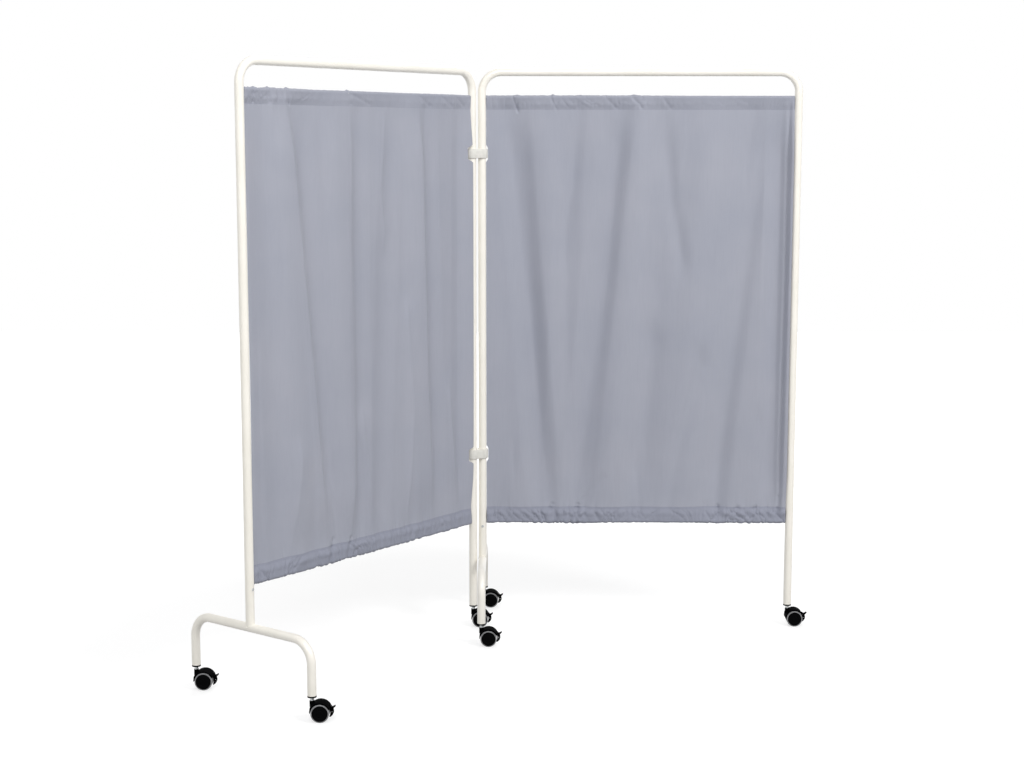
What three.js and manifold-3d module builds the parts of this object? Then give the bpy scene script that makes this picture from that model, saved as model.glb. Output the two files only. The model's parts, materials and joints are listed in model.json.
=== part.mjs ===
// A folding ward screen of two wings on castors, in millimetres, +Z up.
// Each wing is an upside-down U of round tube with a gathered cloth between two rods.
// The viewer looks along +Y. The right wing runs along +X, and the left wing is turned towards the viewer.
import * as THREE from "three";
import { mergeVertices } from "three/addons/utils/BufferGeometryUtils.js";
import Module from "manifold-3d";

const wasm = await Module();
wasm.setup();

// Fits shared by all the pieces.
const fitGap = 0.3;
const cutOverrun = 1;
const weldTolerance = 0.0001;
const roundSides = 16;
const smallSides = 12;

// Tubes of the frames and feet.
const tubeRadius = 12.5;
const tubeWall = 1.5;
const bendSteps = 5;

// Frames. Heights are above the floor, and the spacing is between the centrelines of the uprights.
const uprightSpacing = 975;
const railHeight = 1747.5;
const frameBend = 60;

// Feet: an arch across the wing, with a spigot that goes up inside the upright.
const footFrontReach = 230;
const footRearReach = 222;
const footRailHeight = 216;
const footBend = 62;
const spigotAboveScrew = 9;
const spigotWall = 1.5;

// Foot screws.
const footScrewRise = 109;
const footScrewRadius = 2.5;
const footScrewHeadRadius = 4;
const footScrewHead = 2.4;
const footScrewReach = 6;

// The hinge between the wings: two clamps that hold both inner uprights.
const hingeSpacing = 34;
const leftWingTurn = THREE.MathUtils.degToRad(52.7);
const clampTurn = leftWingTurn / 2;
const clampWall = 4.75;
const clampFit = 0.4;
const clampHeight = 28.5;
const clampSplit = 1;
const upperClampDrop = 248;
const lowerClampRise = 233.8;
const clampScrewRadius = 2.5;
const clampScrewHeadRadius = 4.5;
const clampScrewHead = 3.5;
const clampScrewSink = 1;
const clampScrewSkin = 4.5;
const clampArcSteps = 6;

// Curtain rods.
const rodRadius = 4;
const rodSeat = 4;

// Curtains, between a drop below the top rail and a lift above the foot screws. The fold tables scale
// the half width and depth given here.
const curtainDrop = 71;
const curtainLift = 11.5;
const clothThickness = 2;
const tunnelGap = 0.6;
const tunnelSides = 6;
const hemTaper = 14;
const curtainSteps = 27;
const foldHalfWidth = 50;
const foldDepth = 10;
const clampRoom = 0.6;
const clampSwingRoom = 12.2;
const clothRowShares = [0, 0.06, 0.2, 0.36, 0.52, 0.68, 0.84, 0.94, 1];

// Castors: the wheels and their axle.
const wheelRadius = 25;
const wheelWidth = 19;
const wheelSides = 18;
const treadWidth = 15.5;
const rimRadius = 21.5;
const rimStep = 2;
const hubFaceRadius = 19.5;
const axleRadius = 3;
const axleSeat = 12;

// Castors: the hood, the web between the wheels and the boss round the stem.
const casterTrail = 22;
const webWidth = 10.4;
const hubRadius = 6;
const wheelRoom = 1.3;
const hoodWall = 3.7;
const hoodWidth = 44;
const bossRadius = 6.9;
const bossProud = 1.5;
const bossDepth = 18;
const hoodEndTurn = THREE.MathUtils.degToRad(24);
const hoodCrownTurn = THREE.MathUtils.degToRad(125);
const hoodSteps = 7;

// Castors: the stem and the socket in the tube's end.
const stemRadius = 5;
const stemFit = 0.4;
const stemSeat = 11;
const stemShown = 8.7;
const stemGrip = 26;
const socketRim = 4;
const socketSleeve = 28;

// Castors: the brake lever.
const leverWidth = 8;
const leverSlotFit = 0.4;
const leverPinRadius = 2;
const leverPinHalf = 5.2;
const leverEarRadius = 4;
const leverEarWidth = 18;
const leverHoleRadius = 1.8;

// The hood's leading corner and the end of its skirt, in shares of the hood's radius from the axle.
const skirtShares = [[-0.9, 0.5], [-0.95, 0.05]];
// The web's outline away from the hub, in the same shares.
const webShares = [[0.42, 0.83], [-0.6, 0.72], [-0.95, 0.2], [-0.6, -0.1]];
// The lever's places and outline from the axle, in shares of the wheel's radius.
const leverPivotShares = [1.06, 0.5];
const leverHoleShares = [1.24, 0];
const leverSlotShares = [[0.76, 0.2], [1.7, 0.2], [1.7, 0.75], [0.76, 0.75]];
const leverShares = [
  [0.94, -0.52], [1.02, -0.57], [1.2, -0.45], [1.36, -0.27], [1.45, -0.04], [1.45, 0.16],
  [1.39, 0.36], [1.47, 0.46], [1.62, 0.6], [1.65, 0.69], [1.6, 0.75], [1.38, 0.62],
  [1.24, 0.58], [1.17, 0.62], [1.06, 0.63], [0.96, 0.58], [0.97, 0.44], [1.04, 0.24],
  [1.065, 0], [1.04, -0.24],
];

// Folds of the cloths. Each runs in a straight line from a place under the top hem to one over the
// bottom hem, given as shares of the width from the inner upright. Its half width and its depth are
// shares of the common ones. It bows away from the viewer, or towards the viewer where its depth is
// negative. The last two are the ends beside the uprights.
const rightFolds = [
  { topShare: 0.08, bottomShare: 0.195, reachShare: 1.24, depthShare: 1.4 },
  { topShare: 0.18, bottomShare: 0.24, reachShare: 1.2, depthShare: -0.8 },
  { topShare: 0.28, bottomShare: 0.23, reachShare: 1, depthShare: 0.6 },
  { topShare: 0.43, bottomShare: 0.29, reachShare: 1.24, depthShare: 1.2 },
  { topShare: 0.5, bottomShare: 0.4, reachShare: 1.2, depthShare: -0.8 },
  { topShare: 0.58, bottomShare: 0.51, reachShare: 1.4, depthShare: 0.8 },
  { topShare: 0.73, bottomShare: 0.63, reachShare: 1.4, depthShare: -0.7 },
  { topShare: 0.87, bottomShare: 0.74, reachShare: 1.32, depthShare: 0.9 },
  { topShare: 0.955, bottomShare: 0.94, reachShare: 0.9, depthShare: 1.4 },
  { topShare: 1, bottomShare: 1, reachShare: 0.8, depthShare: -1.5 },
  { topShare: 0, bottomShare: 0, reachShare: 1.4, depthShare: -0.6 },
];
const leftFolds = [
  { topShare: 0.045, bottomShare: 0.055, reachShare: 1, depthShare: 0.7 },
  { topShare: 0.219, bottomShare: 0.17, reachShare: 1.1, depthShare: 1 },
  { topShare: 0.285, bottomShare: 0.275, reachShare: 1.2, depthShare: -0.8 },
  { topShare: 0.383, bottomShare: 0.455, reachShare: 1.1, depthShare: 0.8 },
  { topShare: 0.539, bottomShare: 0.539, reachShare: 1.1, depthShare: 1.1 },
  { topShare: 0.645, bottomShare: 0.605, reachShare: 1.2, depthShare: -0.9 },
  { topShare: 0.785, bottomShare: 0.655, reachShare: 1.24, depthShare: 1.3 },
  { topShare: 0.875, bottomShare: 0.795, reachShare: 1.2, depthShare: -0.9 },
  { topShare: 0.925, bottomShare: 0.885, reachShare: 1.1, depthShare: 0.7 },
  { topShare: 1, bottomShare: 1, reachShare: 0.8, depthShare: -0.6 },
  { topShare: 0, bottomShare: 0, reachShare: 1.2, depthShare: -1.4 },
];

// Sizes that follow from the ones above.
const boreRadius = tubeRadius - tubeWall;
const wellRadius = wheelRadius + wheelRoom;
const hoodRadius = wellRadius + hoodWall;
const bossTop = wheelRadius + hoodRadius + bossProud;
const rimBottom = bossTop + stemShown;
const rimTop = rimBottom + socketRim;
const legEnd = rimTop + fitGap;
const footScrewLevel = footRailHeight + footScrewRise;
const wheelInnerFace = webWidth / 2 + fitGap;
const curtainTop = railHeight - curtainDrop;
const curtainBottom = footScrewLevel + curtainLift;
const rodInset = clothThickness + tunnelGap + rodRadius;
const topRodLevel = curtainTop - rodInset;
const bottomRodLevel = curtainBottom + rodInset;
const clampRadius = tubeRadius + clampWall;
const upperClampLevel = railHeight - upperClampDrop;
const lowerClampLevel = footScrewLevel + lowerClampRise;

const finishes = {
  cream: { color: 0xf1ede2, roughness: 0.35, metalness: 0 },
  clamp: { color: 0xe6e4dd, roughness: 0.5, metalness: 0 },
  black: { color: 0x17171a, roughness: 0.5, metalness: 0 },
  wheel: { color: 0x2a2a2c, roughness: 0.6, metalness: 0 },
  zinc: { color: 0xb9bcbc, roughness: 0.3, metalness: 1 },
  rod: { color: 0xc8c8c4, roughness: 0.35, metalness: 1 },
  cloth: { color: 0x9a9fae, roughness: 0.85, metalness: 0 },
};

function piece(name, geometry, finish) {
  const mesh = new THREE.Mesh(geometry, new THREE.MeshStandardMaterial(finishes[finish]));
  mesh.name = name;
  return mesh;
}

// A closed geometry as a solid that can be joined or cut.
function solidOf(geometry) {
  const bare = geometry.clone();
  bare.deleteAttribute("normal");
  bare.deleteAttribute("uv");
  const merged = mergeVertices(bare, weldTolerance);
  return new wasm.Manifold(
    new wasm.Mesh({
      numProp: 3,
      vertProperties: merged.attributes.position.array,
      triVerts: new Uint32Array(merged.index.array),
    }),
  );
}

function geometryOf(solid) {
  const mesh = solid.getMesh();
  const geometry = new THREE.BufferGeometry();
  geometry.setAttribute("position", new THREE.BufferAttribute(mesh.vertProperties, 3));
  geometry.setIndex(new THREE.BufferAttribute(mesh.triVerts, 1));
  geometry.computeVertexNormals();
  return geometry;
}

function joined(base, ...others) {
  return geometryOf(others.reduce((sum, other) => sum.add(solidOf(other)), solidOf(base)));
}

function cut(base, ...tools) {
  return geometryOf(tools.reduce((rest, tool) => rest.subtract(solidOf(tool)), solidOf(base)));
}

// Points on an arc about (x, y), both ends included.
function arc(x, y, radius, start, end, steps) {
  return Array.from({ length: steps + 1 }, (_, step) => {
    const turn = start + ((end - start) * step) / steps;
    return new THREE.Vector2(x + radius * Math.cos(turn), y + radius * Math.sin(turn));
  });
}

function circle(x, y, radius, sides) {
  return arc(x, y, radius, 0, 2 * Math.PI, sides).slice(1);
}

// Points given as shares of a size.
function scaled(shares, size) {
  return shares.map(([x, y]) => new THREE.Vector2(x * size, y * size));
}

// A plate with its outline in X and Y, from a level upwards.
function plate(outline, level, height) {
  return new THREE.ExtrudeGeometry(new THREE.Shape(outline), { depth: height, bevelEnabled: false })
    .translate(0, 0, level);
}

// A plate with its outline in X and Z, as wide on both sides of Y = 0.
function sidePlate(outline, width) {
  return new THREE.ExtrudeGeometry(new THREE.Shape(outline), { depth: width, bevelEnabled: false })
    .translate(0, 0, -width / 2)
    .rotateX(Math.PI / 2);
}

// A piece turned about the Z axis from a profile of [radius, height] pairs.
function turned(profile, sides = roundSides, start = 0) {
  const points = profile.map(([radius, height]) => new THREE.Vector2(radius, height));
  return new THREE.LatheGeometry([...points, points[0].clone()], sides, start).rotateX(Math.PI / 2);
}

function pin(radius, from, to, sides = smallSides) {
  return turned([[0, from], [radius, from], [radius, to], [0, to]], sides);
}

// Turn a piece that runs up the Z axis so that it runs along X or Y, forwards or backwards.
function alongX(geometry, way = 1) {
  return geometry.rotateY((way * Math.PI) / 2);
}

function alongY(geometry, way = 1) {
  return geometry.rotateX((-way * Math.PI) / 2);
}

// A path through corners with round quarter-turn bends, with stations only where it bends.
class BentPath extends THREE.Curve {
  constructor(corners, bendRadius) {
    super();
    this.stations = corners.flatMap((corner, i) => {
      const arriving = i > 0 && corner.clone().sub(corners[i - 1]).normalize();
      const leaving = i < corners.length - 1 && corners[i + 1].clone().sub(corner).normalize();
      if (!arriving || !leaving) return [{ point: corner, tangent: arriving || leaving }];
      return Array.from({ length: bendSteps + 1 }, (_, step) => {
        const turn = ((Math.PI / 2) * step) / bendSteps;
        const point = corner.clone()
          .addScaledVector(arriving, bendRadius * (Math.sin(turn) - 1))
          .addScaledVector(leaving, bendRadius * (1 - Math.cos(turn)));
        const tangent = arriving.clone()
          .multiplyScalar(Math.cos(turn))
          .addScaledVector(leaving, Math.sin(turn));
        return { point, tangent };
      });
    });
  }

  get steps() {
    return this.stations.length - 1;
  }

  getPointAt(share) {
    return this.stations[Math.round(share * this.steps)].point.clone();
  }

  getTangentAt(share) {
    return this.stations[Math.round(share * this.steps)].tangent.clone();
  }
}

function bentTube(corners, bendRadius) {
  const section = new THREE.Shape(circle(0, 0, tubeRadius, roundSides));
  section.holes.push(new THREE.Path(circle(0, 0, boreRadius, roundSides)));
  const path = new BentPath(corners, bendRadius);
  return new THREE.ExtrudeGeometry(section, { steps: path.steps, extrudePath: path });
}

// A wing's frame. Its inner upright stands on the wing's Z axis, and the outer one lies towards side * X.
// The footed upright is coped over its foot's arch, and the other one ends over a castor.
function frame(side, footedX) {
  const outerX = side * uprightSpacing;
  const endAt = (x) => (x === footedX ? footRailHeight : legEnd);
  const tube = bentTube(
    [
      new THREE.Vector3(0, 0, endAt(0)),
      new THREE.Vector3(0, 0, railHeight),
      new THREE.Vector3(outerX, 0, railHeight),
      new THREE.Vector3(outerX, 0, endAt(outerX)),
    ],
    frameBend,
  );
  const wallStart = boreRadius - cutOverrun;
  const wallEnd = tubeRadius + cutOverrun;
  const rodHoles = [topRodLevel, bottomRodLevel].flatMap((level) => [
    alongX(pin(rodRadius + fitGap, wallStart, wallEnd), side).translate(0, 0, level),
    alongX(pin(rodRadius + fitGap, wallStart, wallEnd), -side).translate(outerX, 0, level),
  ]);
  const screwHole = alongY(pin(footScrewRadius + fitGap, wallStart, wallEnd), -1)
    .translate(footedX, 0, footScrewLevel);
  const cope = alongY(pin(tubeRadius + fitGap, -footBend, footBend, roundSides))
    .translate(footedX, 0, footRailHeight);
  return cut(tube, ...rodHoles, screwHole, cope);
}

function foot() {
  const arch = bentTube(
    [
      new THREE.Vector3(0, -footFrontReach, legEnd),
      new THREE.Vector3(0, -footFrontReach, footRailHeight),
      new THREE.Vector3(0, footRearReach, footRailHeight),
      new THREE.Vector3(0, footRearReach, legEnd),
    ],
    footBend,
  );
  const outer = boreRadius - fitGap;
  const inner = outer - spigotWall;
  const top = footScrewLevel + spigotAboveScrew;
  const sleeve = turned([[inner, footRailHeight], [outer, footRailHeight], [outer, top], [inner, top]]);
  const saddle = alongY(pin(tubeRadius - tubeWall / 2, -footBend, footBend, roundSides))
    .translate(0, 0, footRailHeight);
  const screwHole = alongY(pin(footScrewRadius + fitGap, inner - cutOverrun, outer + cutOverrun), -1)
    .translate(0, 0, footScrewLevel);
  return joined(arch, cut(sleeve, saddle, screwHole));
}

function footScrew() {
  const seat = tubeRadius + fitGap;
  const profile = [
    [0, seat - footScrewReach],
    [footScrewRadius, seat - footScrewReach],
    [footScrewRadius, seat],
    [footScrewHeadRadius, seat],
    [footScrewHeadRadius, seat + footScrewHead],
    [0, seat + footScrewHead],
  ];
  return alongY(turned(profile, smallSides), -1).translate(0, 0, footScrewLevel);
}

function curtainRod(side, level) {
  const reach = uprightSpacing / 2 - tubeRadius + rodSeat;
  return alongX(pin(rodRadius, -reach, reach)).translate((side * uprightSpacing) / 2, 0, level);
}

// How far the folds move the cloth at a share of its width and a share of its drop between the hems.
function bow(folds, widthShare, dropShare, width) {
  const edgeShare = clothRowShares[1];
  const fade = Math.max(0, Math.min(1, dropShare / edgeShare, (1 - dropShare) / edgeShare));
  return folds.reduce((sum, fold) => {
    const place = THREE.MathUtils.lerp(fold.topShare, fold.bottomShare, dropShare);
    const away = ((widthShare - place) * width) / (fold.reachShare * foldHalfWidth);
    return Math.abs(away) < 1 ? sum + fade * fold.depthShare * foldDepth * (1 - away * away) ** 2 : sum;
  }, 0);
}

// The cloth's section across the wing, in Y and Z: a loop round the sheet and one round each rod's tunnel.
function curtainLoops(bodyTop, bodyBottom) {
  const half = clothThickness / 2;
  const tunnel = (rodRadius + tunnelGap) / Math.cos(Math.PI / tunnelSides);
  const hem = rodInset / Math.cos(Math.PI / tunnelSides);
  const rows = clothRowShares.map((share) => THREE.MathUtils.lerp(bodyTop, bodyBottom, share));
  return [
    [
      ...arc(0, topRodLevel, hem, 0, Math.PI, tunnelSides / 2),
      ...rows.map((level) => new THREE.Vector2(-half, level)),
      ...arc(0, bottomRodLevel, hem, Math.PI, 2 * Math.PI, tunnelSides / 2),
      ...rows.reverse().map((level) => new THREE.Vector2(half, level)),
    ],
    circle(0, topRodLevel, tunnel, tunnelSides).reverse(),
    circle(0, bottomRodLevel, tunnel, tunnelSides).reverse(),
  ];
}

// The cloth keeps clear of the clamps, and the left one also where they swing past its front.
// Front and back are split along the same diagonals, so that the sheet keeps its thickness.
function curtain(side, folds, sideRoom) {
  const bodyTop = topRodLevel - hemTaper;
  const bodyBottom = bottomRodLevel + hemTaper;
  const inset = tubeRadius + fitGap;
  const width = uprightSpacing - 2 * inset;
  const startX = side > 0 ? inset : inset - uprightSpacing;
  const loops = curtainLoops(bodyTop, bodyBottom);
  const stations = Array.from({ length: curtainSteps + 1 }, (_, step) => {
    const x = startX + (width * step) / curtainSteps;
    const widthShare = (Math.abs(x) - inset) / width;
    const bent = loops.map((loop) =>
      loop.map((point) => {
        const dropShare = (bodyTop - point.y) / (bodyTop - bodyBottom);
        return new THREE.Vector2(point.x + bow(folds, widthShare, dropShare, width), point.y);
      }),
    );
    return { x, bent };
  });
  const places = stations.flatMap(({ x, bent }) =>
    bent.flat().map((point) => new THREE.Vector3(x, point.x, point.y)),
  );
  const ring = loops.flat().length;
  const faces = [];
  for (let step = 0; step < curtainSteps; step++) {
    let first = step * ring;
    for (const loop of loops) {
      loop.forEach((point, i) => {
        const here = first + i;
        const next = first + ((i + 1) % loop.length);
        const rises = loop[(i + 1) % loop.length].y > point.y;
        if (rises) faces.push(here, next, here + ring, next, next + ring, here + ring);
        else faces.push(here, next, next + ring, here, next + ring, here + ring);
      });
      first += loop.length;
    }
  }
  const capOf = ({ bent: [sheet, ...tunnels] }) => THREE.ShapeUtils.triangulateShape(sheet, tunnels);
  faces.push(...capOf(stations[0]).flatMap(([a, b, c]) => [c, b, a]));
  faces.push(...capOf(stations[curtainSteps]).flat().map((corner) => corner + curtainSteps * ring));
  const cloth = new THREE.BufferGeometry().setFromPoints(places).setIndex(faces);
  const clampRooms = [upperClampLevel, lowerClampLevel].map((level) => {
    const half = clampHeight / 2 + clampRoom;
    return pin(clampRadius + sideRoom, level - half, level + half, roundSides);
  });
  return cut(cloth, ...clampRooms);
}

// Half of a clamp, in front of (way -1) or behind (way 1) the plane through both uprights.
function clampHalf(way, level) {
  const split = clampSplit / 2;
  const channel = tubeRadius + clampFit;
  const outerSlip = Math.asin(split / clampRadius);
  const channelSlip = Math.asin(split / channel);
  const outline = [
    ...arc(0, 0, clampRadius, outerSlip, Math.PI / 2, clampArcSteps),
    ...arc(-hingeSpacing, 0, clampRadius, Math.PI / 2, Math.PI - outerSlip, clampArcSteps),
    ...arc(-hingeSpacing, 0, channel, Math.PI - channelSlip, channelSlip, 2 * clampArcSteps),
    ...arc(0, 0, channel, Math.PI - channelSlip, channelSlip, 2 * clampArcSteps),
  ].map((point) => new THREE.Vector2(point.x, way * point.y));
  const block = plate(outline, level - clampHeight / 2, clampHeight);
  const screwHole = pin(clampScrewRadius + fitGap, -clampRadius + clampScrewSkin, clampRadius + cutOverrun);
  const headSink = clampRadius - clampScrewSink - clampScrewHead - fitGap;
  const headHole = pin(clampScrewHeadRadius + fitGap, headSink, clampRadius + cutOverrun);
  const holes = [screwHole, headHole].map((hole) =>
    alongY(hole).translate(-hingeSpacing / 2, 0, level),
  );
  return cut(block, ...holes);
}

function clampScrew(level) {
  const headTop = clampRadius - clampScrewSink;
  const headSeat = headTop - clampScrewHead;
  const tip = -clampRadius + clampScrewSkin + fitGap;
  const profile = [
    [0, tip],
    [clampScrewRadius, tip],
    [clampScrewRadius, headSeat],
    [clampScrewHeadRadius, headSeat],
    [clampScrewHeadRadius, headTop],
    [0, headTop],
  ];
  return alongY(turned(profile, smallSides)).translate(-hingeSpacing / 2, 0, level);
}

// Castor pieces. The stem is on the Z axis, and the axle lies behind it at the wheels' centre.
function onAxle(geometry) {
  return geometry.translate(casterTrail, 0, wheelRadius);
}

function casterSocket() {
  const bore = stemRadius + fitGap;
  const sleeve = boreRadius - fitGap;
  const top = rimTop + socketSleeve;
  return turned([
    [bore, rimBottom],
    [tubeRadius, rimBottom],
    [tubeRadius, rimTop],
    [sleeve, rimTop],
    [sleeve, top],
    [bore, top],
  ]);
}

function casterStem() {
  return pin(stemRadius, bossTop - stemSeat, rimTop + stemGrip);
}

function casterHousing() {
  const [pivotX, pivotZ] = leverPivotShares.map((share) => share * wheelRadius);
  const hood = sidePlate(
    [
      ...arc(0, 0, hoodRadius, hoodEndTurn, hoodCrownTurn, hoodSteps),
      ...scaled(skirtShares, hoodRadius),
      ...arc(0, 0, wheelRadius, Math.PI, hoodEndTurn, hoodSteps),
    ],
    hoodWidth,
  );
  const hub = arc(0, 0, hubRadius, -0.75 * Math.PI, 0.125 * Math.PI, smallSides / 2);
  const web = sidePlate([...hub, ...scaled(webShares, hoodRadius)], webWidth);
  const bossEnd = bossTop - wheelRadius;
  const boss = pin(bossRadius, bossEnd - bossDepth, bossEnd, roundSides).translate(-casterTrail, 0, 0);
  const ears = sidePlate(circle(pivotX, pivotZ, leverEarRadius, smallSides), leverEarWidth);
  const wells = [-1, 1].map((way) =>
    alongY(pin(wellRadius, webWidth / 2, hoodWidth / 2 + cutOverrun, wheelSides), way),
  );
  const slot = sidePlate(scaled(leverSlotShares, wheelRadius), leverWidth + 2 * leverSlotFit);
  const pinHole = alongY(pin(leverPinRadius + fitGap, -leverPinHalf - fitGap, leverPinHalf + fitGap))
    .translate(pivotX, 0, pivotZ);
  const stemHole = pin(stemRadius + stemFit, bossEnd - stemSeat - fitGap, bossEnd + cutOverrun)
    .translate(-casterTrail, 0, 0);
  const axleHole = alongY(pin(axleRadius + fitGap, -webWidth, webWidth));
  return onAxle(cut(joined(hood, web, boss, ears), ...wells, slot, pinHole, stemHole, axleHole));
}

function casterLever() {
  const [pivotX, pivotZ] = leverPivotShares.map((share) => share * wheelRadius);
  const [holeX, holeZ] = leverHoleShares.map((share) => share * wheelRadius);
  const blade = sidePlate(scaled(leverShares, wheelRadius), leverWidth);
  const pivot = alongY(pin(leverPinRadius, -leverPinHalf, leverPinHalf)).translate(pivotX, 0, pivotZ);
  const hole = alongY(pin(leverHoleRadius, -leverWidth, leverWidth)).translate(holeX, 0, holeZ);
  return onAxle(cut(joined(blade, pivot), hole));
}

function casterAxle() {
  const reach = wheelInnerFace + axleSeat;
  return onAxle(alongY(pin(axleRadius, -reach, reach)));
}

// A wheel with its moulded tyre. A flat of the tread lies on the floor.
function casterWheel(way) {
  const bore = axleRadius + fitGap;
  const tread = wheelRadius / Math.cos(Math.PI / wheelSides);
  const seat = axleSeat + fitGap;
  const profile = [
    [bore, 0],
    [tread, 0],
    [tread, treadWidth],
    [rimRadius, treadWidth + rimStep],
    [hubFaceRadius, wheelWidth],
    [0, wheelWidth],
    [0, seat],
    [bore, seat],
  ];
  const wheel = turned(profile, wheelSides, Math.PI / wheelSides).translate(0, 0, wheelInnerFace);
  return onAxle(alongY(wheel, way));
}

function caster(name, x, y, turn) {
  const group = new THREE.Group();
  group.position.set(x, y, 0);
  group.rotation.z = turn;
  group.add(
    piece(`${name}_socket`, casterSocket(), "black"),
    piece(`${name}_stem`, casterStem(), "zinc"),
    piece(`${name}_housing`, casterHousing(), "black"),
    piece(`${name}_brake_lever`, casterLever(), "black"),
    piece(`${name}_axle`, casterAxle(), "zinc"),
    piece(`${name}_front_wheel`, casterWheel(-1), "wheel"),
    piece(`${name}_rear_wheel`, casterWheel(1), "wheel"),
  );
  return group;
}

// A wing with its inner upright on the group's Z axis. All castors trail the same way as the wings turn.
function wing({ name, side, footedX, freeX, freeName, folds, sideRoom, turn }) {
  const group = new THREE.Group();
  const footPieces = new THREE.Group();
  footPieces.position.x = footedX;
  footPieces.add(
    piece(`${name}_foot`, foot(), "cream"),
    piece(`${name}_foot_screw`, footScrew(), "zinc"),
    caster(`caster_${name}_front`, 0, -footFrontReach, -turn),
    caster(`caster_${name}_rear`, 0, footRearReach, -turn),
  );
  group.add(
    piece(`${name}_frame`, frame(side, footedX), "cream"),
    piece(`${name}_top_curtain_rod`, curtainRod(side, topRodLevel), "rod"),
    piece(`${name}_bottom_curtain_rod`, curtainRod(side, bottomRodLevel), "rod"),
    piece(`${name}_curtain`, curtain(side, folds, sideRoom), "cloth"),
    footPieces,
    caster(`caster_${name}_${freeName}`, freeX, 0, -turn),
  );
  group.rotation.z = turn;
  return group;
}

function clamp(name, level) {
  return [
    piece(`${name}_front_half`, clampHalf(-1, level), "clamp"),
    piece(`${name}_rear_half`, clampHalf(1, level), "clamp"),
    piece(`${name}_screw`, clampScrew(level), "zinc"),
  ];
}

const rightWing = wing({
  name: "right",
  side: 1,
  footedX: 0,
  freeX: uprightSpacing,
  freeName: "outer",
  folds: rightFolds,
  sideRoom: clampRoom,
  turn: 0,
});
const leftWing = wing({
  name: "left",
  side: -1,
  footedX: -uprightSpacing,
  freeX: 0,
  freeName: "inner",
  folds: leftFolds,
  sideRoom: clampSwingRoom,
  turn: leftWingTurn,
});
leftWing.position.set(-hingeSpacing * Math.cos(clampTurn), -hingeSpacing * Math.sin(clampTurn), 0);

const clamps = new THREE.Group();
clamps.add(...clamp("upper_clamp", upperClampLevel), ...clamp("lower_clamp", lowerClampLevel));
clamps.rotation.z = clampTurn;

const screen = new THREE.Group();
screen.add(rightWing, clamps, leftWing);

// The origin is at the middle of the footprint, on the floor.
const bounds = new THREE.Box3().setFromObject(screen, true);
const centre = bounds.getCenter(new THREE.Vector3());
screen.position.set(-centre.x, -centre.y, -bounds.min.z);

const part = new THREE.Group();
part.add(screen);

export default part;
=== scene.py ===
import json
import math

import bmesh
import bpy
import numpy as np
from mathutils import Matrix, Vector


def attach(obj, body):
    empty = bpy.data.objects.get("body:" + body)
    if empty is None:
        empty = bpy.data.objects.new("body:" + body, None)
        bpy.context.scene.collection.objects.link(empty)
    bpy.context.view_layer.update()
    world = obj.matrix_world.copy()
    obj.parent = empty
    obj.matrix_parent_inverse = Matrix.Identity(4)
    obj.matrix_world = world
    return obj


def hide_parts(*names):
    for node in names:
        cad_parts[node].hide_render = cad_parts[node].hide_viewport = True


# A folding ward screen of two wings on castors. All lengths are in metres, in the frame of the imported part.
# A wing's own frame has its inner upright on the Z axis, and its Y axis points away from the viewer.
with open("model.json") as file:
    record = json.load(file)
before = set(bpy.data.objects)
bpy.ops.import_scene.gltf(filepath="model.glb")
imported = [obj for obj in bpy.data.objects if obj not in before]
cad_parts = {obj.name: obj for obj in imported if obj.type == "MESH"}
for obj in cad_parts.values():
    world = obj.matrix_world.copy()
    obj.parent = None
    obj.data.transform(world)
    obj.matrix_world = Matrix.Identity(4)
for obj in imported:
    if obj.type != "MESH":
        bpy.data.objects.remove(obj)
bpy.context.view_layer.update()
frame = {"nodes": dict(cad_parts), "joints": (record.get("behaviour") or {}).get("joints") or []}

# Tubes of the frames and feet.
TUBE_RADIUS = 0.0125
TUBE_WALL = 0.0015
TUBE_SIDES = 48
BEND_STEPS = 18
TUBE_RIM = 0.0004
SPACING = 0.975
RAIL_LEVEL = 1.7475
FRAME_BEND = 0.060
FOOT_FRONT = 0.230
FOOT_REAR = 0.222
FOOT_LEVEL = 0.216
FOOT_BEND = 0.062
LEG_END = 0.0695

# Weld beads of the feet.
WELD_RADIUS = 0.0013
WELD_LIFT = 0.0002
WELD_STATIONS = 120
WELD_SIDES = 10
WELD_RIPPLE = 0.14
SADDLE_EASE = 0.01

# Screws.
FOOT_SCREW_LEVEL = 0.325
FOOT_SCREW_HEAD = 0.004
FOOT_SCREW_HEIGHT = 0.0026
CLAMP_SCREW_HEAD = 0.0045
CLAMP_SCREW_HEIGHT = 0.0035
CLAMP_SCREW_SINK = 0.0045
HEX_RADIUS = 0.0019

# Clamps between the inner uprights.
CLAMP_LEVELS = {"upper": 1.4995, "lower": 0.5588}
CLAMP_RADIUS = 0.01725
CLAMP_HEIGHT = 0.0285
CLAMP_SPLIT = 0.001
CLAMP_EDGE = 0.0012
CLAMP_SLACK = 0.0001
CLAMP_STEPS = 14
CHANNEL_STEPS = 24
CLAMP_WELL_SINK = 0.0048
CLAMP_WELL_ROOM = 0.0004
CUT_THROUGH = 0.002
HINGE_SPACING = 0.034
LEFT_TURN = math.radians(52.7)

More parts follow.
